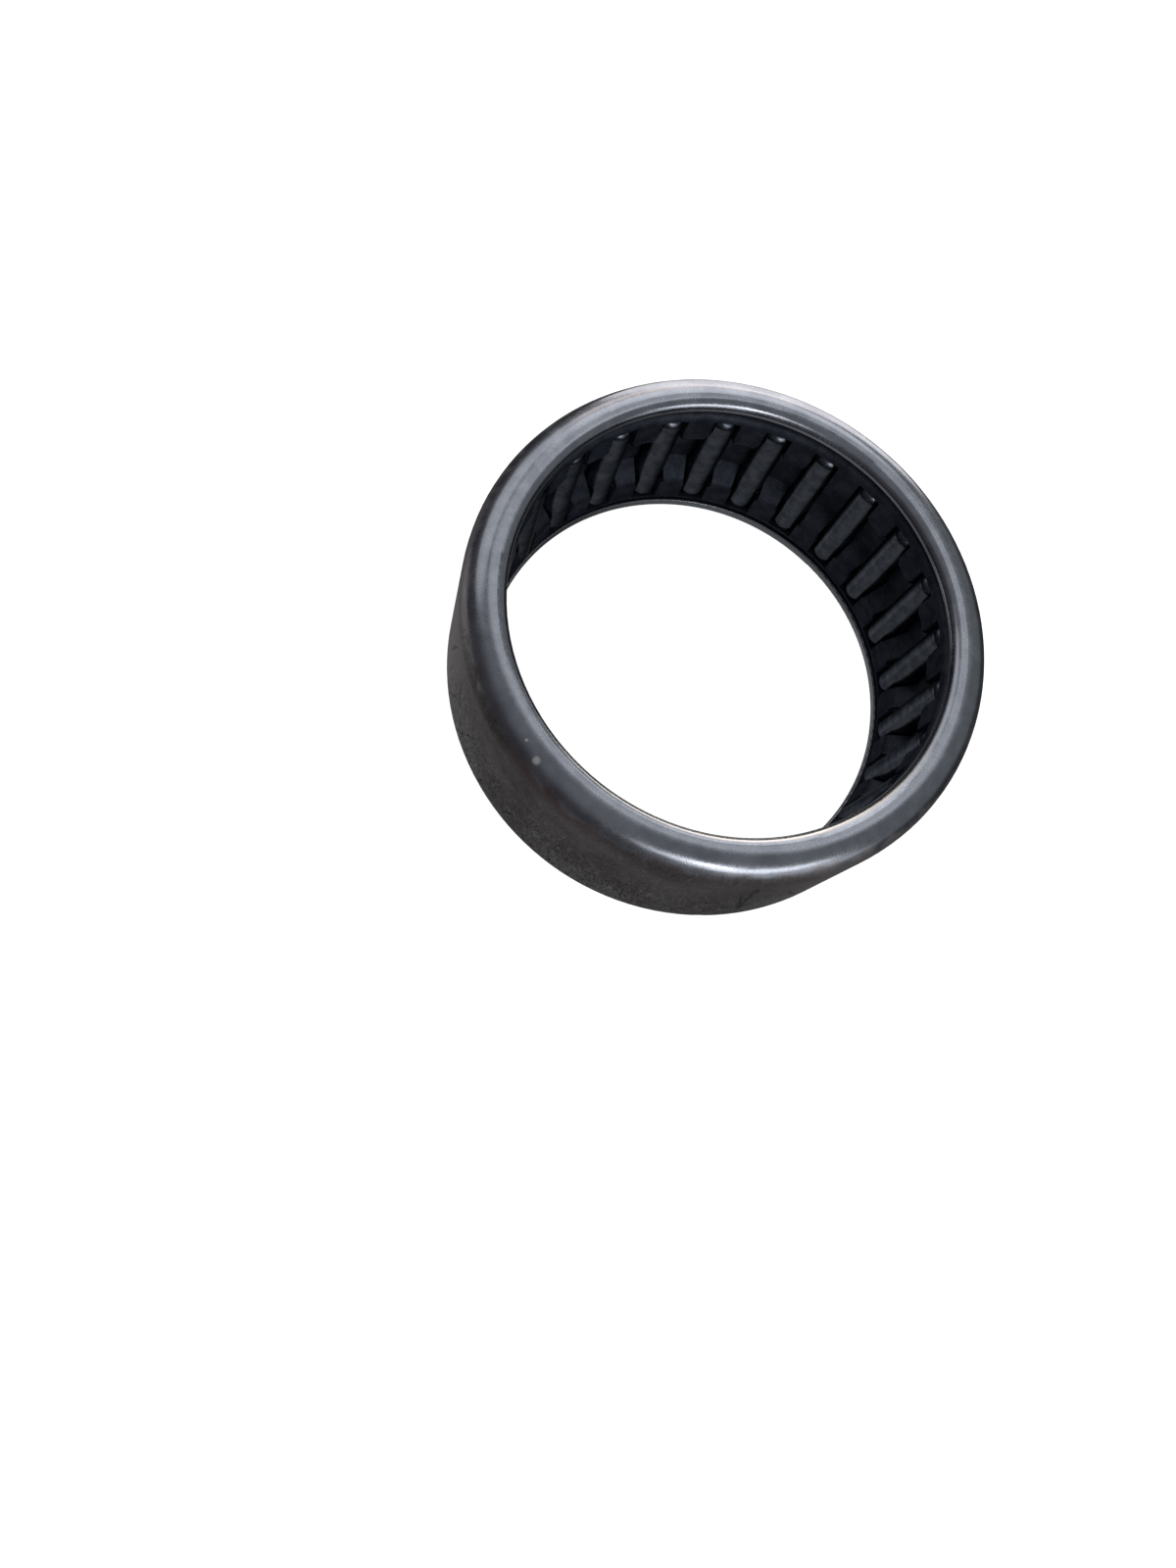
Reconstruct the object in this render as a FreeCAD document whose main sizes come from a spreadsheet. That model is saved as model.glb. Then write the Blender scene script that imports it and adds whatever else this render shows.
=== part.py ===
import FreeCAD, Part
import math
import os
import Sketcher

# Drawn cup needle roller bearing with open ends, in millimetres.
# Z is the bearing axis, and the origin is on it, halfway between the two end faces.
# The lower lip (-Z) is the one curled in last, over the cage and the rollers.

SIZES = (
    # alias, value, what it is
    ("outer_diameter", 42.0, "outside of the cup, pressed into the housing"),
    ("width", 16.0, "over both lips"),
    ("shaft_diameter", 35.0, "shaft that runs on the rollers"),
    ("shaft_clearance", 0.015, "between the shaft and a roller, on the radius"),
    ("race_clearance", 0.015, "between a roller and the raceway, on the radius"),
    ("roller_diameter", 2.5, ""),
    ("roller_length", 11.8, ""),
    ("roller_rounding", 1.0, "radius round each end of a roller"),
    ("roller_count", 25, ""),
    ("lip_bore", 35.16, "hole through the lips"),
    ("corner_radius", 2.3, "outside corner at the drawn lip"),
    ("curl_radius", 2.0, "outside corner at the curled lip"),
    ("curl_sheet", 0.8, "thickness of the curled lip and of the wall next to it"),
    ("curl_relief", 2.2, "height of that thinner wall, from the end face"),
    ("lip_rounding", 0.8, "outer edge of the hole in the drawn lip"),
    ("edge_rounding", 0.12, "the other edges of the holes in the lips"),
    ("cage_sheet", 0.45, "thickness of the cage's steel"),
    ("cage_width", 13.4, "over both flanges"),
    ("cage_bore_gap", 0.18, "between the shaft and the cage, on the radius"),
    ("cage_race_gap", 0.13, "between the cage's waist and the raceway, on the radius"),
    ("cage_flange_diameter", 38.0, "outside of the cage's end flanges"),
    ("cage_waist", 4.0, "length of the part that lies close to the raceway"),
    ("cage_slope", 55.0, "angle of the bars between the rings and the waist, in degrees"),
    ("cage_bend", 0.25, "inside radius of the cage's bends"),
    ("cage_seat_gap", 0.02, "between the lower flange and the lower lip"),
    ("pocket_length", 11.95, ""),
    ("pocket_narrow", 2.28, "width where the bars hold a roller in, above and below its middle"),
    ("pocket_wide", 2.66, "width where the bars cross a roller's middle"),
    ("pocket_margin", 0.1, "how far the wide stretch reaches past the sloping bar at each end"),
    ("pocket_taper", 0.25, "length of the change from wide to narrow"),
    ("roller_seat_gap", 0.02, "between a roller's lower end and the end of its pocket"),
)

OUTER = "Size.outer_diameter / 2"
TOP = "Size.width / 2"
PITCH = "(Size.shaft_diameter / 2 + Size.shaft_clearance + Size.roller_diameter / 2)"
RACE = f"({PITCH} + Size.roller_diameter / 2 + Size.race_clearance)"
WALL = f"({OUTER} - {RACE})"
LIP = "Size.lip_bore / 2"
CAGE_BORE = "(Size.shaft_diameter / 2 + Size.cage_bore_gap)"
WAIST = f"({RACE} - Size.cage_race_gap)"
WAIST_END = "Size.cage_waist / 2"
SLOPE_RISE = f"({WAIST} - Size.cage_sheet - {CAGE_BORE})"
SLOPE_END = f"({WAIST_END} + {SLOPE_RISE} / tan(Size.cage_slope * 1 deg))"
BEND_SHIFT = "Size.cage_sheet * tan(Size.cage_slope * 0.5 deg)"
CAGE_HEIGHT = f"(-{TOP} + Size.curl_sheet + Size.cage_seat_gap + Size.cage_width / 2)"
ROLLER_FOOT = f"({CAGE_HEIGHT} - Size.pocket_length / 2 + Size.roller_seat_gap)"

document = FreeCAD.newDocument("NeedleRollerBearing")


def make_sheet():
    """Put the driving dimensions in the document, one row each."""
    sheet = document.addObject("Spreadsheet::Sheet", "Size")
    for row, (alias, value, note) in enumerate(SIZES, start=1):
        sheet.set(f"A{row}", alias)
        sheet.set(f"B{row}", str(value))
        sheet.set(f"C{row}", note)
        sheet.setAlias(f"B{row}", alias)
    document.recompute()
    return sheet


def make_body(label):
    body = document.addObject("PartDesign::Body", label)
    body.Label = label
    return body


def draw_outline(body, name, plane_role, corners):
    """Sketch a closed outline of straight lines. Each corner is (name, across, up) in expressions."""
    plane = next(item for item in body.Origin.OriginFeatures if item.Role == plane_role)
    sketch = body.newObject("Sketcher::SketchObject", name)
    sketch.AttachmentSupport = (plane, "")
    sketch.MapMode = "FlatFace"
    # The lines begin as a regular polygon, and the bound constraints pull each corner to its place.
    step = 2 * math.pi / len(corners)
    start = [FreeCAD.Vector(math.cos(i * step), math.sin(i * step), 0) for i in range(len(corners))]
    for i, point in enumerate(start):
        sketch.addGeometry(Part.LineSegment(point, start[(i + 1) % len(start)]))
    for i in range(len(corners)):
        sketch.addConstraint(Sketcher.Constraint("Coincident", i, 2, (i + 1) % len(corners), 1))
    for i, (corner, across, up) in enumerate(corners):
        for kind, value, expression in (("DistanceX", start[i].x, across), ("DistanceY", start[i].y, up)):
            index = sketch.addConstraint(Sketcher.Constraint(kind, -1, 1, i, 1, value))
            sketch.setExpression(f"Constraints[{index}]", expression)
    document.recompute()
    return sketch


def mirrored(corners):
    """The same corners below the outline's middle, in the order that carries on round it."""
    return [(f"lower {corner}", across, f"-({up})") for corner, across, up in reversed(corners)]


def revolve(body, sketch, name):
    feature = body.newObject("PartDesign::Revolution", name)
    feature.Profile = sketch
    feature.ReferenceAxis = (sketch, ["V_Axis"])
    feature.Angle = 360
    document.recompute()
    return feature


def round_rims(body, name, sketch, corners, chosen, radius):
    """Round the circular edges that the chosen corners of a revolved outline swept."""
    base = body.Tip
    places = [sketch.Geometry[i].StartPoint for i, corner in enumerate(corners) if corner[0] in chosen]
    edges = []
    for number, edge in enumerate(base.Shape.Edges, start=1):
        if not isinstance(edge.Curve, Part.Circle):
            continue
        height = edge.Curve.Center.z
        if any(math.hypot(edge.Curve.Radius - p.x, height - p.y) < 1e-5 for p in places):
            edges.append(f"Edge{number}")
    fillet = body.newObject("PartDesign::Fillet", name)
    fillet.Base = (base, edges)
    fillet.setExpression("Radius", radius)
    body.Tip = fillet
    document.recompute()
    return fillet


def make_cup():
    """The drawn cup: raceway, drawn lip at the top, thinner curled lip at the bottom."""
    body = make_body("outer_cup")
    curl_top = f"-{TOP} + Size.curl_sheet"
    curl_wall = f"{OUTER} - Size.curl_sheet"
    relief_top = f"-{TOP} + Size.curl_relief"
    corners = [
        ("lip edge", LIP, TOP),
        ("lip corner", OUTER, TOP),
        ("curl corner", OUTER, f"-{TOP}"),
        ("curl edge", LIP, f"-{TOP}"),
        ("curl inner edge", LIP, curl_top),
        ("curl bend", curl_wall, curl_top),
        ("relief end", curl_wall, relief_top),
        ("raceway end", RACE, f"{relief_top} + {WALL} - Size.curl_sheet"),
        ("lip bend", RACE, f"{TOP} - {WALL}"),
        ("lip inner edge", LIP, f"{TOP} - {WALL}"),
    ]
    sketch = draw_outline(body, "cup_section", "XZ_Plane", corners)
    revolve(body, sketch, "cup_ring")
    other_edges = ("lip inner edge", "curl edge", "curl inner edge")
    for name, chosen, radius in (
        ("lip_corner", ("lip corner",), "Size.corner_radius"),
        ("lip_bend", ("lip bend",), f"Size.corner_radius - {WALL}"),
        ("curl_corner", ("curl corner",), "Size.curl_radius"),
        ("curl_bend", ("curl bend",), "Size.curl_radius - Size.curl_sheet"),
        ("lip_edge", ("lip edge",), "Size.lip_rounding"),
        ("other_edges", other_edges, "Size.edge_rounding"),
    ):
        round_rims(body, name, sketch, corners, chosen, radius)
    return body


def draw_cage_section(body):
    """Half the cage's section: flange, ring near the bore, slope, waist near the raceway."""
    outer_half = [
        ("ring end", CAGE_BORE, "Size.cage_width / 2"),
        ("flange top", "Size.cage_flange_diameter / 2", "Size.cage_width / 2"),
        ("flange under", "Size.cage_flange_diameter / 2", "Size.cage_width / 2 - Size.cage_sheet"),
        ("flange inside", f"{CAGE_BORE} + Size.cage_sheet", "Size.cage_width / 2 - Size.cage_sheet"),
        ("ring outside", f"{CAGE_BORE} + Size.cage_sheet", f"{SLOPE_END} + {BEND_SHIFT}"),
        ("waist outside", WAIST, f"{WAIST_END} + {BEND_SHIFT}"),
    ]
    inner_half = [
        ("waist inside", f"{WAIST} - Size.cage_sheet", WAIST_END),
        ("ring inside", CAGE_BORE, SLOPE_END),
    ]
    corners = outer_half + mirrored(outer_half) + mirrored(inner_half) + inner_half
    return draw_outline(body, "cage_section", "XZ_Plane", corners), corners


def draw_pocket(body):
    """One window: narrow over the rings and the waist, wide over the two slopes."""
    narrow = "Size.pocket_narrow / 2"
    wide = "Size.pocket_wide / 2"
    wide_low = f"({WAIST_END} - Size.pocket_margin)"
    wide_high = f"({SLOPE_END} + {BEND_SHIFT} + Size.pocket_margin)"
    upper_right = [
        ("end", narrow, "Size.pocket_length / 2"),
        ("ring side", narrow, f"{wide_high} + Size.pocket_taper"),
        ("slope top", wide, wide_high),
        ("slope foot", wide, wide_low),
        ("waist side", narrow, f"{wide_low} - Size.pocket_taper"),
    ]
    right = upper_right + mirrored(upper_right)
    left = [(f"left {corner}", f"-({across})", up) for corner, across, up in reversed(right)]
    return draw_outline(body, "pocket_outline", "YZ_Plane", right + left)


def make_cage():
    """The cage: a revolved section of bent sheet with one window for each roller."""
    body = make_body("cage")
    sketch, corners = draw_cage_section(body)
    revolve(body, sketch, "cage_ring")
    convex = ("ring end", "waist outside", "ring inside")
    concave = ("flange inside", "ring outside", "waist inside")
    for name, bends, radius in (
        ("outer_bends", convex, "Size.cage_bend + Size.cage_sheet"),
        ("inner_bends", concave, "Size.cage_bend"),
    ):
        chosen = bends + tuple(f"lower {corner}" for corner in bends)
        round_rims(body, name, sketch, corners, chosen, radius)
    solid_volume = body.Shape.Volume
    outline = draw_pocket(body)
    window = body.newObject("PartDesign::Pocket", "pocket")
    window.Profile = outline
    window.Reversed = True
    window.setExpression("Length", OUTER)
    body.Tip = window
    document.recompute()
    if window.Shape.Volume >= solid_volume:
        raise RuntimeError("the pocket points away from the cage")
    pattern = body.newObject("PartDesign::PolarPattern", "pockets")
    pattern.Originals = [window]
    pattern.Axis = (sketch, ["V_Axis"])
    pattern.Angle = 360
    pattern.setExpression("Occurrences", "Size.roller_count")
    body.Tip = pattern
    body.setExpression("Placement.Base.z", CAGE_HEIGHT)
    document.recompute()
    return body


def make_roller(number):
    """One needle roller with rounded ends, standing in its pocket."""
    body = make_body(f"needle_roller_{number:02d}")
    cylinder = body.newObject("PartDesign::AdditiveCylinder", f"needle_{number:02d}")
    cylinder.setExpression("Radius", "Size.roller_diameter / 2")
    cylinder.setExpression("Height", "Size.roller_length")
    document.recompute()
    rims = [
        f"Edge{index}"
        for index, edge in enumerate(cylinder.Shape.Edges, start=1)
        if isinstance(edge.Curve, Part.Circle)
    ]
    fillet = body.newObject("PartDesign::Fillet", f"needle_ends_{number:02d}")
    fillet.Base = (cylinder, rims)
    fillet.setExpression("Radius", "Size.roller_rounding")
    body.Tip = fillet
    turn = f"(360 deg / Size.roller_count * {number - 1})"
    body.setExpression("Placement.Base.x", f"{PITCH} * cos({turn})")
    body.setExpression("Placement.Base.y", f"{PITCH} * sin({turn})")
    body.setExpression("Placement.Base.z", ROLLER_FOOT)
    return body


def write_steps(bodies):
    """Stop at anything that did not build, then write each body to its own file."""
    for item in document.Objects:
        if "Invalid" in item.State or "Error" in item.State:
            raise RuntimeError(f"{item.Label} did not recompute: {item.State}")
    os.makedirs("parts", exist_ok=True)
    for body in bodies:
        if body.Shape.isNull() or not body.Shape.isValid() or len(body.Shape.Solids) != 1:
            raise RuntimeError(f"{body.Label} is not one valid solid")
        body.Shape.exportStep(f"parts/{body.Label}.step")


sheet = make_sheet()
bodies = [make_cup(), make_cage()]
for number in range(1, int(sheet.roller_count) + 1):
    bodies.append(make_roller(number))
document.recompute()
write_steps(bodies)
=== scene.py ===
import math

import bpy
from mathutils import Matrix, Vector


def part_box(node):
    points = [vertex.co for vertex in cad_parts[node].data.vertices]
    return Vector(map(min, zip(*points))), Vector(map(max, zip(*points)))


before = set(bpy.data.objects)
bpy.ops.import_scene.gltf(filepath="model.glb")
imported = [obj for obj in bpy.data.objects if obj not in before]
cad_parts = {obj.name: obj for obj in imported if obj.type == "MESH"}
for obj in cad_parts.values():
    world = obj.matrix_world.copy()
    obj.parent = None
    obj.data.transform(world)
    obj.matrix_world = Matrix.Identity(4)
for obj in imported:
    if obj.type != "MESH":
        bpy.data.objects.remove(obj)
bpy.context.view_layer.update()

# Needle roller bearing, lying on its curled lip. Lengths are in metres, in the CAD frame:
# Z is the bearing axis, and the origin is on it, halfway between the end faces.

MM = 0.001
LOW, HIGH = (Vector(corner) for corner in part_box("outer_cup"))
FLOOR_HEIGHT = LOW.z
CUP_RADIUS = HIGH.x

# The finishes measure in millimetres: three radii of the cup, and the height of the curled lip's inside.
OUTSIDE = CUP_RADIUS / MM
RACEWAY = 20.03
LIP_HOLE = 17.58
CURLED_SHEET = 0.8
CURL_TOP = LOW.z / MM + CURLED_SHEET


# ---------------------------------------------------------------- node helpers


def grey(level, red=1.0, green=1.0, blue=1.0):
    """A grey of a given level, tinted by a factor for each colour."""
    return (level * red, level * green, level * blue, 1.0)


class Nodes:
    """A node tree, with short calls for the nodes that the world and the finishes share."""

    def __init__(self, tree):
        self.tree = tree

    def add(self, kind):
        return self.tree.nodes.new(kind)

    def plug(self, socket, value):
        """Link a socket to another node's output, or set it to a plain value."""
        if isinstance(value, bpy.types.NodeSocket):
            self.tree.links.new(value, socket)
        else:
            socket.default_value = value

    def remap(self, value, from_low, from_high, to_low=0.0, to_high=1.0):
        """Ease from one value to another between two limits, and hold still outside them."""
        node = self.add("ShaderNodeMapRange")
        node.interpolation_type = "SMOOTHSTEP"
        for socket, setting in zip(node.inputs, (value, from_low, from_high, to_low, to_high)):
            self.plug(socket, setting)
        return node.outputs["Result"]

    def blend(self, factor, first, second):
        """Mix two colours."""
        node = self.add("ShaderNodeMix")
        node.data_type = "RGBA"
        self.plug(node.inputs["Factor"], factor)
        for name, colour in (("A", first), ("B", second)):
            socket = next(s for s in node.inputs if s.name == name and s.type == "RGBA")
            self.plug(socket, colour)
        return next(s for s in node.outputs if s.type == "RGBA")


class Shader(Nodes):
    """A material with one principled surface."""

    def __init__(self, name):
        self.material = bpy.data.materials.new(name)
        self.material.use_nodes = True
        super().__init__(self.material.node_tree)
        self.tree.nodes.clear()
        self.surface = self.add("ShaderNodeBsdfPrincipled")
        output = self.add("ShaderNodeOutputMaterial")
        self.plug(output.inputs["Surface"], self.surface.outputs["BSDF"])

    def math(self, operation, first, second=0.0, third=0.0):
        node = self.add("ShaderNodeMath")
        node.operation = operation
        for socket, value in zip(node.inputs, (first, second, third)):
            self.plug(socket, value)
        return node.outputs[0]

    def combine(self, x, y, z):
        node = self.add("ShaderNodeCombineXYZ")
        for socket, value in zip(node.inputs, (x, y, z)):
            self.plug(socket, value)
        return node.outputs[0]

    def position(self):
        """The point's place on the part, in millimetres."""
        node = self.add("ShaderNodeVectorMath")
        node.operation = "SCALE"
        self.plug(node.inputs[0], self.add("ShaderNodeTexCoord").outputs["Object"])
        node.inputs["Scale"].default_value = 1 / MM
        return node.outputs[0]

    def split(self, vector):
        node = self.add("ShaderNodeSeparateXYZ")
        self.plug(node.inputs[0], vector)
        return node.outputs[:3]

    def stretched(self, vector, x, y, z):
        node = self.add("ShaderNodeVectorMath")
        node.operation = "MULTIPLY"
        self.plug(node.inputs[0], vector)
        node.inputs[1].default_value = (x, y, z)
        return node.outputs[0]

    def noise(self, vector, scale, detail=2.0, roughness=0.5, distortion=0.0):
        node = self.add("ShaderNodeTexNoise")
        self.plug(node.inputs["Vector"], vector)
        node.inputs["Scale"].default_value = scale
        node.inputs["Detail"].default_value = detail
        node.inputs["Roughness"].default_value = roughness
        node.inputs["Distortion"].default_value = distortion
        return node.outputs["Fac"]

    def bump(self, height, distance):
        node = self.add("ShaderNodeBump")
        node.inputs["Distance"].default_value = distance
        self.plug(node.inputs["Height"], height)
        return node.outputs["Normal"]

    def metal(self, colour, roughness, normal, grazing):
        """Finish as metal. A low grazing value is for an oily film, which dulls the mirror at low angles."""
        self.surface.inputs["Metallic"].default_value = 1.0
        self.surface.inputs["Specular Tint"].default_value = grey(grazing)
        self.plug(self.surface.inputs["Base Color"], colour)
        self.plug(self.surface.inputs["Roughness"], roughness)
        self.plug(self.surface.inputs["Normal"], normal)
        return self.material


class OnCup:
    """Places on the cup, in millimetres: from the axis, round the outside, and up."""

    def __init__(self, shader):
        self.shader = shader
        self.place = shader.position()
        x, y, self.height = shader.split(self.place)
        self.angle = shader.math("ARCTAN2", y, x)
        self.around = shader.math("MULTIPLY", self.angle, OUTSIDE)
        squares = shader.math("ADD", shader.math("MULTIPLY", x, x), shader.math("MULTIPLY", y, y))
        self.radius = shader.math("SQRT", squares)
        self.unrolled = shader.combine(self.around, self.height, self.radius)

    def sector(self, value, start, end):
        """Ease from 0 to 1 as an angle goes from one azimuth to another, given in degrees."""
        return self.shader.remap(value, math.radians(start), math.radians(end))

    def spot(self, azimuth, radius, height, size):
        """1 in the middle of a small mark, and 0 outside it."""
        turn = math.radians(azimuth)
        node = self.shader.add("ShaderNodeVectorMath")
        node.operation = "DISTANCE"
        self.shader.plug(node.inputs[0], self.place)
        node.inputs[1].default_value = (radius * math.cos(turn), radius * math.sin(turn), height)
        return self.shader.remap(node.outputs["Value"], size, size / 3)

    def stroke(self, start, end, width):
        """1 along the middle of a scratch on the wall, and 0 outside it. Each end is azimuth and height."""
        shader = self.shader
        per_degree = math.radians(OUTSIDE)
        (x0, y0), (x1, y1) = ((azimuth * per_degree, height) for azimuth, height in (start, end))
        length = math.hypot(x1 - x0, y1 - y0)
        cos, sin = (x1 - x0) / length, (y1 - y0) / length
        across = shader.math("SUBTRACT", self.around, (x0 + x1) / 2)
        up = shader.math("SUBTRACT", self.height, (y0 + y1) / 2)
        along = shader.math("MULTIPLY_ADD", across, cos, shader.math("MULTIPLY", up, sin))
        aside = shader.math("MULTIPLY_ADD", up, cos, shader.math("MULTIPLY", across, -sin))
        wander = shader.math("MULTIPLY_ADD", shader.noise(self.unrolled, 1.5), width * 4, -width * 2)
        aside = shader.math("ABSOLUTE", shader.math("ADD", aside, wander))
        fade = shader.remap(shader.math("ABSOLUTE", along), length / 2, length / 3)
        return shader.math("MULTIPLY", fade, shader.remap(aside, width, width / 3))


# ---------------------------------------------------------------- the cup's finish


# Deep scratches on the wall: azimuth in degrees and height in mm at each end, then half the width in mm.
SCRATCHES = (
    ((-40.7, -4.6), (-44.8, 6.4), 0.26),
    ((-40.2, -4.6), (-43.5, -0.1), 0.3),
    ((-40.9, -2.8), (-46.3, 3.5), 0.16),
    ((-35.0, 2.5), (-28.5, -2.0), 0.16),
    ((-134.0, 0.2), (-131.0, 3.4), 0.17),
    ((-129.0, -4.6), (-124.5, -1.4), 0.19),
    ((-122.5, -1.6), (-124.0, 2.4), 0.14),
    ((-121.5, -5.8), (-117.0, -2.9), 0.2),
    ((-116.5, -2.4), (-113.0, 0.6), 0.15),
    ((-109.0, -6.6), (-106.8, -3.8), 0.17),
    ((-84.0, -6.2), (-86.5, -2.5), 0.1),
    ((-66.5, -5.6), (-68.0, -1.8), 0.1),
)
# Azimuth, in degrees, of the middle of the painted highlight on the drawn lip's inner edge.
EDGE_HIGHLIGHT_AZIMUTH = -45

# A fine scratch's depth, and a deep scratch's depth and the fall of a domed lip as multiples of it.
SCRATCH_DEPTH = 0.012 * MM
DEEP_SCRATCH = 3.0
DOME_FALL = 7.0


def painted_light_sides(cup):
    """1 round most of the wall, which is painted lighter, and 0 on the stretch that faces -Y, which keeps the
    darker colour: painted light and shade.
    """
    one_end = cup.sector(cup.angle, -115, -145)
    other_end = cup.sector(cup.angle, -50, -15)
    return cup.shader.math("MAXIMUM", one_end, other_end)


def fine_scratches(cup, painted_side_light):
    """Dark and light handling scratches, mostly up and down, thickest on the lower half, and fainter where
    the wall is painted lighter.
    """
    shader = cup.shader
    low_half = shader.remap(cup.height, 4.5, -2.0, 0.35, 1.0)
    strength = shader.math("MULTIPLY", low_half, shader.remap(painted_side_light, 0.0, 1.0, 1.0, 0.5))
    drawn_out = shader.stretched(cup.unrolled, 3.2, 1.0, 1.0)
    hair = shader.noise(drawn_out, 1.0, detail=6.0, roughness=0.75, distortion=2.0)
    dark = shader.math("MULTIPLY", shader.remap(hair, 0.5, 0.39), strength)
    light = shader.math("MULTIPLY", shader.remap(hair, 0.54, 0.64), strength)
    return dark, light


def deep_scratches(cup):
    """The listed scratches, each broken up along its length."""
    shader = cup.shader
    deep = 0.0
    for start, end, half_width in SCRATCHES:
        deep = shader.math("MAXIMUM", deep, cup.stroke(start, end, half_width))
    broken = shader.remap(shader.noise(cup.unrolled, 3.0, detail=3.0), 0.35, 0.55, 0.25, 0.9)
    return shader.math("MULTIPLY", deep, broken)


def wall_area(cup):
    """1 on the outside wall, which starts under the corner with a ragged edge, and 0 on the lips."""
    shader = cup.shader
    ragged = shader.math("MULTIPLY_ADD", shader.noise(cup.unrolled, 0.7, detail=5.0), 1.2, -0.6)
    edge = shader.math("ADD", cup.radius, ragged)
    return shader.remap(edge, OUTSIDE - 0.75, OUTSIDE - 0.2)


def wall_colour(cup, mottle, painted_side_light, dark, light, deep):
    """Brownish grey with lighter patches, painted light on all of the wall but the stretch that faces -Y, a
    reddish stain under one corner, and the scratches.
    """
    shader = cup.shader
    colour = shader.blend(mottle, grey(0.13, 1.1, 0.96, 1.0), grey(0.21, 1.08, 0.97, 1.0))
    patch = shader.remap(shader.noise(cup.unrolled, 0.16, detail=3.0), 0.42, 0.62)
    colour = shader.blend(patch, colour, grey(0.27, 1.05, 0.98, 1.03))
    # Painted light: the wall is made much lighter on all but the stretch that faces -Y.
    colour = shader.blend(painted_side_light, colour, grey(0.55, 1.04, 0.98, 1.03))
    colour = shader.blend(dark, colour, grey(0.05))
    colour = shader.blend(light, colour, grey(0.6, 1.02, 0.98, 1.0))
    stained = cup.spot(azimuth=-92.0, radius=20.6, height=7.0, size=7.0)
    stain = shader.math("MULTIPLY", shader.remap(cup.height, 5.4, 7.0), stained)
    colour = shader.blend(stain, colour, grey(0.2, 1.25, 0.92, 0.97))
    return shader.blend(deep, colour, grey(0.02))


def lip_colour(cup, mottle):
    """Bluish grey, with a painted highlight on the inner edge of the drawn lip, on one side."""
    shader = cup.shader
    colour = shader.blend(mottle, grey(0.44, 0.93, 0.98, 1.13), grey(0.54, 0.94, 0.99, 1.12))
    # Painted highlight: the inner edge of the drawn lip is made near white round one side.
    edge = shader.remap(cup.radius, LIP_HOLE + 0.6, LIP_HOLE + 0.2)
    painted_edge_highlight = shader.math("MULTIPLY", edge, shader.math("GREATER_THAN", cup.height, 0.0))
    from_edge_highlight = shader.math("ABSOLUTE", shader.math("SUBTRACT", cup.angle, math.radians(EDGE_HIGHLIGHT_AZIMUTH)))
    painted_edge_highlight = shader.math("MULTIPLY", painted_edge_highlight, cup.sector(from_edge_highlight, 65, 30))
    return shader.blend(painted_edge_highlight, colour, grey(0.85, 1.0, 0.99, 0.98))


def curl_painted_shade(cup):
    """1 on the curled lip, out as far as the raceway, which gets a painted shade, and 0 elsewhere."""
    shader = cup.shader
    floor_end = shader.remap(cup.height, CURL_TOP + 0.6, CURL_TOP)
    return shader.math("MULTIPLY", floor_end, shader.remap(cup.radius, RACEWAY + 0.3, RACEWAY))


def nicks(cup):
    """Two bright nicks on the corner of the drawn lip."""
    large = cup.spot(azimuth=-98.8, radius=19.91, height=7.66, size=0.45)
    small = cup.spot(azimuth=-103.4, radius=19.62, height=7.81, size=0.18)
    return cup.shader.math("MAXIMUM", large, small)


def cup_relief(cup, grain, wall, dark, deep):
    """Height of the surface, in fine scratch depths, with the lips tilted as if they were slightly domed."""
    shader = cup.shader
    rings = shader.noise(shader.combine(0.0, 0.0, cup.radius), 9.0, detail=3.0)
    fine = shader.math("MULTIPLY_ADD", grain, 0.12, shader.math("MULTIPLY", rings, 0.1))
    marks = shader.math("MULTIPLY_ADD", deep, DEEP_SCRATCH, dark)
    scratched = shader.math("SUBTRACT", fine, shader.math("MULTIPLY", marks, wall))
    domed = shader.remap(cup.radius, LIP_HOLE + 1.7, LIP_HOLE + 0.35, 0.0, -DOME_FALL)
    return shader.math("ADD", scratched, domed)


def cup_steel():
    """Satin drawn steel on the lips; on the outside wall browner and scratched, and painted darker on the
    stretch that faces -Y and lighter round the rest.
    """
    shader = Shader("cup_steel")
    cup = OnCup(shader)
    mottle = shader.remap(shader.noise(cup.place, 0.5, detail=5.0, roughness=0.65), 0.35, 0.65)
    grain = shader.noise(cup.place, 7.0, detail=4.0, roughness=0.6)
    painted_side_light = painted_light_sides(cup)
    dark, light = fine_scratches(cup, painted_side_light)
    deep = deep_scratches(cup)
    wall = wall_area(cup)
    nick = nicks(cup)

    wall_finish = wall_colour(cup, mottle, painted_side_light, dark, light, deep)
    colour = shader.blend(wall, lip_colour(cup, mottle), wall_finish)
    # Painted shade: the inside of the curled lip gets a plain, slightly darker bluish grey than the lip.
    colour = shader.blend(curl_painted_shade(cup), colour, grey(0.4, 0.94, 1.0, 1.08))
    colour = shader.blend(nick, colour, grey(0.9))

    roughness = shader.math("MULTIPLY_ADD", mottle, 0.04, shader.remap(grain, 0.35, 0.65, 0.19, 0.25))
    roughness = shader.math("MULTIPLY_ADD", wall, 0.2, roughness)
    roughness = shader.math("MULTIPLY_ADD", nick, 0.4, roughness)
    relief = shader.bump(cup_relief(cup, grain, wall, dark, deep), SCRATCH_DEPTH)
    return shader.metal(colour, roughness, relief, grazing=0.8)


# ---------------------------------------------------------------- the other finishes


CAGE_DENTS = 0.008 * MM
GRINDING_DEPTH = 0.0001 * MM


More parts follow.
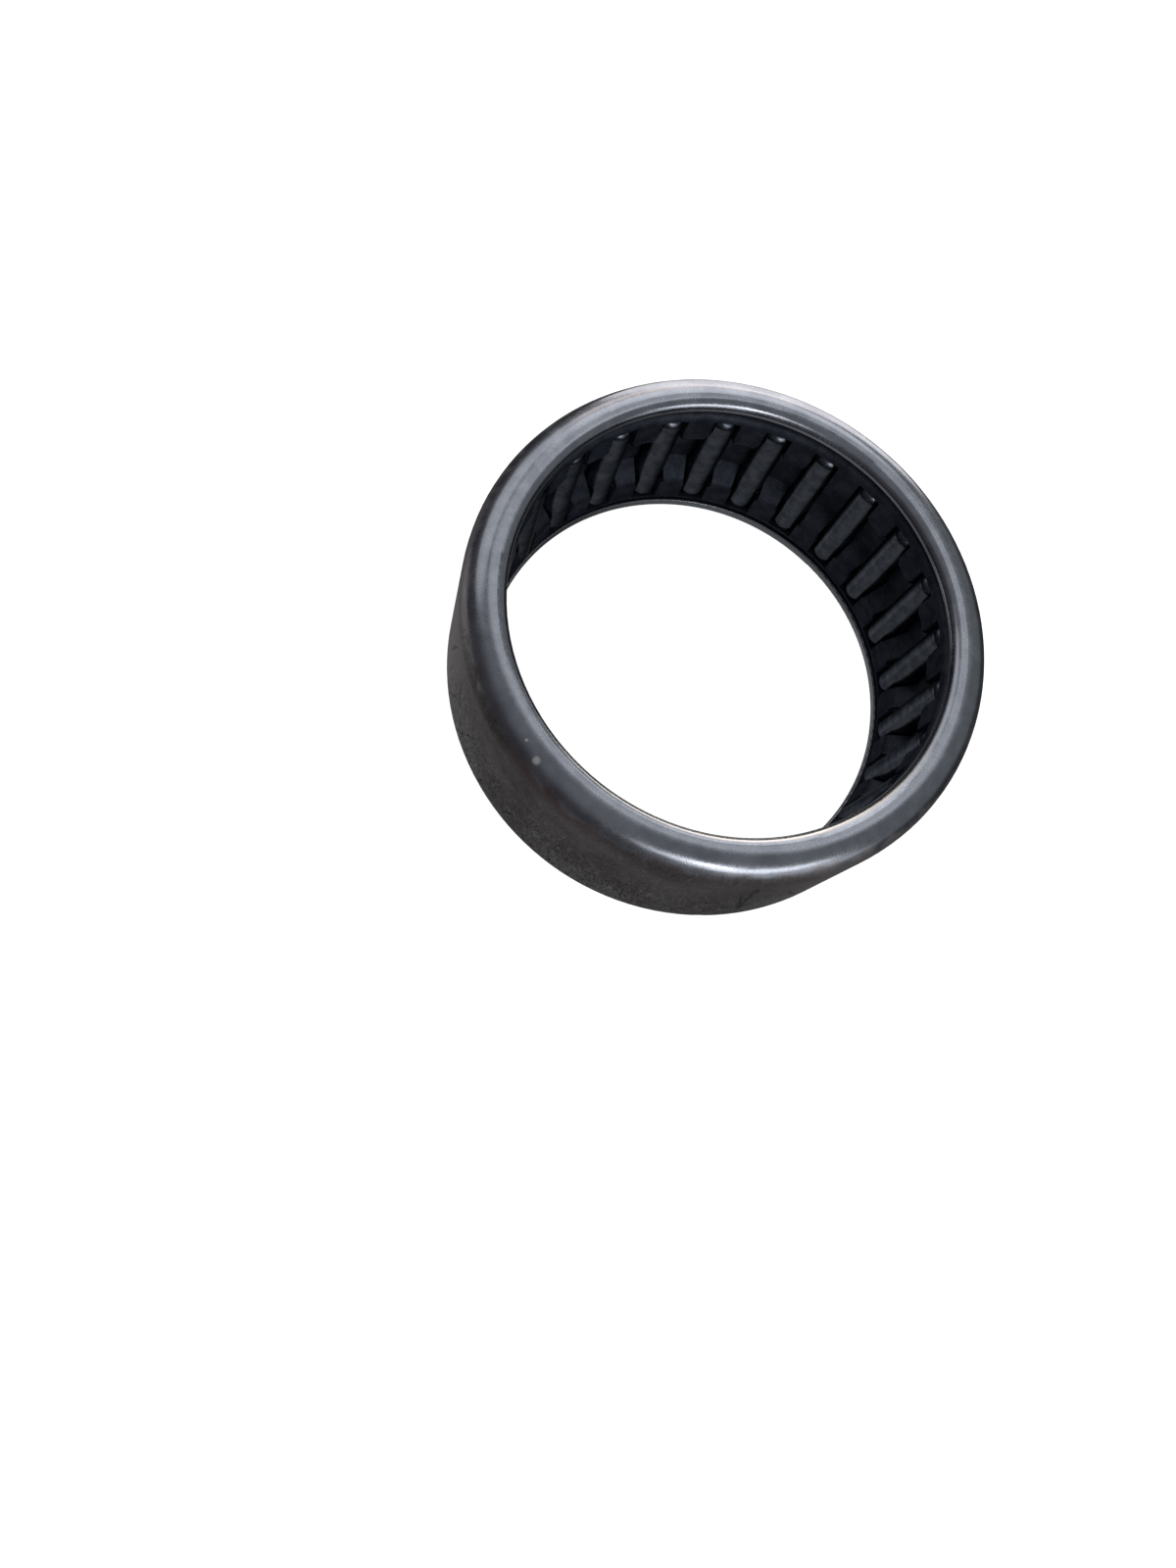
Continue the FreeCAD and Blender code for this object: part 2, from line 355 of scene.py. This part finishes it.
def cage_steel():
    """Sheet steel under a film of oil, painted near black and bluish as painted shade for the inside of the
    cup.
    """
    shader = Shader("cage_steel")
    place = shader.position()
    mottle = shader.remap(shader.noise(place, 0.9, detail=4.0, roughness=0.6), 0.35, 0.65)
    # Painted shade: the near-black bluish colour stands in for the shade inside the cup.
    colour = shader.blend(mottle, grey(0.07, 0.84, 0.97, 1.36), grey(0.11, 0.87, 0.98, 1.26))
    roughness = shader.remap(shader.noise(place, 6.0, detail=3.0), 0.3, 0.7, 0.58, 0.7)
    dents = shader.bump(shader.noise(place, 4.0, detail=3.0), CAGE_DENTS)
    return shader.metal(colour, roughness, dents, grazing=0.1)


def roller_steel():
    """Ground steel, dulled by oil, with faint rings from grinding, and painted dark as painted shade for the
    inside of the cup.
    """
    shader = Shader("roller_steel")
    place = shader.position()
    rings = shader.noise(shader.stretched(place, 0.3, 0.3, 6.0), 2.0, detail=3.0)
    mottle = shader.remap(shader.noise(place, 1.1, detail=4.0, roughness=0.6), 0.35, 0.65)
    # Painted shade: the dark bluish colour stands in for the shade inside the cup.
    colour = shader.blend(mottle, grey(0.13, 0.87, 0.97, 1.2), grey(0.21, 0.89, 0.98, 1.17))
    roughness = shader.remap(rings, 0.3, 0.7, 0.23, 0.28)
    return shader.metal(colour, roughness, shader.bump(rings, GRINDING_DEPTH), grazing=0.3)


def dress_nodes():
    """Give each CAD node its finish. All the nodes but the cup and the cage are rollers."""
    finishes = {"outer_cup": cup_steel(), "cage": cage_steel()}
    roller = roller_steel()
    for name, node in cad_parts.items():
        for slot in node.material_slots:
            slot.material = finishes.get(name, roller)


# ---------------------------------------------------------------- stage, light and camera


FLOOR_REACH = 200 * CUP_RADIUS
LIGHT_DISTANCE = 0.5
FAINTLY_WARM = (1, 0.96, 0.92)
WARM = (1, 0.84, 0.74)


def floor_paint():
    """White matt paint that glows, so that the shadow on it stays very light."""
    shader = Shader("floor_paint")
    shader.surface.inputs["Base Color"].default_value = grey(0.9)
    shader.surface.inputs["Roughness"].default_value = 0.9
    shader.surface.inputs["Emission Color"].default_value = grey(1.0)
    shader.surface.inputs["Emission Strength"].default_value = 0.95
    return shader.material


def make_floor():
    """A wide pale floor. The steel doesn't mirror it, and the lights below it shine through."""
    mesh = bpy.data.meshes.new("floor")
    signs = ((-1, -1), (1, -1), (1, 1), (-1, 1))
    corners = [(x * FLOOR_REACH, y * FLOOR_REACH, FLOOR_HEIGHT) for x, y in signs]
    mesh.from_pydata(corners, [], [(0, 1, 2, 3)])
    mesh.materials.append(floor_paint())
    floor = bpy.data.objects.new("floor", mesh)
    bpy.context.collection.objects.link(floor)
    floor.visible_glossy = False
    floor.visible_shadow = False


def direction(azimuth, elevation):
    """Unit vector towards a place in the studio, given in degrees. Azimuth 0 is +X and 90 is +Y."""
    turn, rise = math.radians(azimuth), math.radians(elevation)
    return Vector((math.cos(rise) * math.cos(turn), math.cos(rise) * math.sin(turn), math.sin(rise)))


def aim(obj, target, roll=0.0):
    """Point an object's -Z at a target, then turn it about its line of sight."""
    sight = (Vector(target) - obj.location).to_track_quat("-Z", "Y").to_matrix().to_4x4()
    obj.matrix_world = Matrix.Translation(obj.location) @ sight @ Matrix.Rotation(roll, 4, "Z")


def soft_light(name, azimuth, elevation, wide, tall, brightness, colour=(1, 1, 1)):
    """A soft box that fills wide by tall degrees of the view from the bearing, at a given brightness."""
    light = bpy.data.lights.new(name, "AREA")
    light.shape = "ELLIPSE"
    light.size = 2 * LIGHT_DISTANCE * math.tan(math.radians(wide) / 2)
    light.size_y = 2 * LIGHT_DISTANCE * math.tan(math.radians(tall) / 2)
    area = math.pi / 4 * light.size * light.size_y
    light.energy = math.pi * area * brightness
    light.color = colour
    lamp = bpy.data.objects.new(name, light)
    bpy.context.collection.objects.link(lamp)
    lamp.location = direction(azimuth, elevation) * LIGHT_DISTANCE
    aim(lamp, (0, 0, 0))


def make_world():
    """A dim studio for the steel to mirror, darkest towards one side. The camera sees plain white instead."""
    world = bpy.data.worlds.new("studio")
    bpy.context.scene.world = world
    world.use_nodes = True
    nodes = Nodes(world.node_tree)
    place = nodes.add("ShaderNodeTexCoord").outputs["Generated"]
    up = (0, 0, 1)

    def facing(vector, low, high):
        """0 where the view points away from a vector, and 1 where it points along it."""
        dot = nodes.add("ShaderNodeVectorMath")
        dot.operation = "DOT_PRODUCT"
        nodes.plug(dot.inputs[0], place)
        dot.inputs[1].default_value = vector
        return nodes.remap(dot.outputs["Value"], low, high)

    bright_side = facing(direction(50, 10), -0.8, 0.6)
    horizon = nodes.blend(bright_side, grey(0.05, 1.05, 0.98, 1.05), grey(0.17, 0.95))
    above = nodes.blend(facing(up, 0.4, 1.0), horizon, grey(0.175, 0.97, 1.0, 1.03))
    below = nodes.blend(facing(direction(-70, -50), 0.3, 1.0), grey(0.04), grey(0.18))
    studio = nodes.blend(facing(up, -0.15, 0.1), below, above)
    by_camera = nodes.add("ShaderNodeLightPath").outputs["Is Camera Ray"]
    seen = nodes.blend(by_camera, studio, grey(1.0))
    nodes.plug(world.node_tree.nodes["Background"].inputs["Color"], seen)


def make_lights():
    make_world()
    soft_light("window", azimuth=-24, elevation=25, wide=38, tall=14, brightness=2.0)
    soft_light("window_side", azimuth=-50, elevation=35, wide=24, tall=13, brightness=1.1)
    soft_light("window_core", azimuth=-39, elevation=35, wide=9, tall=9, brightness=6.0)
    soft_light("window_glow", azimuth=-16, elevation=7, wide=44, tall=24, brightness=0.42)
    soft_light("far_window", azimuth=114, elevation=42, wide=34, tall=26, brightness=1.0)
    soft_light("skylight", azimuth=104, elevation=66, wide=46, tall=12, brightness=0.5)
    soft_light("lamp", azimuth=70, elevation=64, wide=18, tall=9, brightness=0.45)
    soft_light("side_sky", azimuth=164, elevation=34, wide=50, tall=38, brightness=0.5)
    soft_light("far_rim", azimuth=112, elevation=-5, wide=52, tall=48, brightness=1.4, colour=FAINTLY_WARM)
    soft_light("warm_far", azimuth=122, elevation=21, wide=40, tall=16, brightness=1.1, colour=WARM)
    soft_light("low_side", azimuth=-156, elevation=-22, wide=36, tall=26, brightness=0.4)
    soft_light("low_far", azimuth=150, elevation=-70, wide=70, tall=26, brightness=0.18)


def make_camera():
    """A phone held close above the bearing: standing on -Y, looking down, and turned in the hand."""
    data = bpy.data.cameras.new("camera")
    data.sensor_width = 36.0
    data.lens = 26.86
    data.clip_start = 0.001
    camera = bpy.data.objects.new("camera", data)
    bpy.context.collection.objects.link(camera)
    camera.location = (0.00456, -0.04524, 0.08598)
    aim(camera, (0.00038, -0.01572, 0.0), math.radians(34.86))
    bpy.context.scene.camera = camera


dress_nodes()
make_floor()
make_lights()
make_camera()
bpy.context.scene.view_settings.view_transform = "Standard"
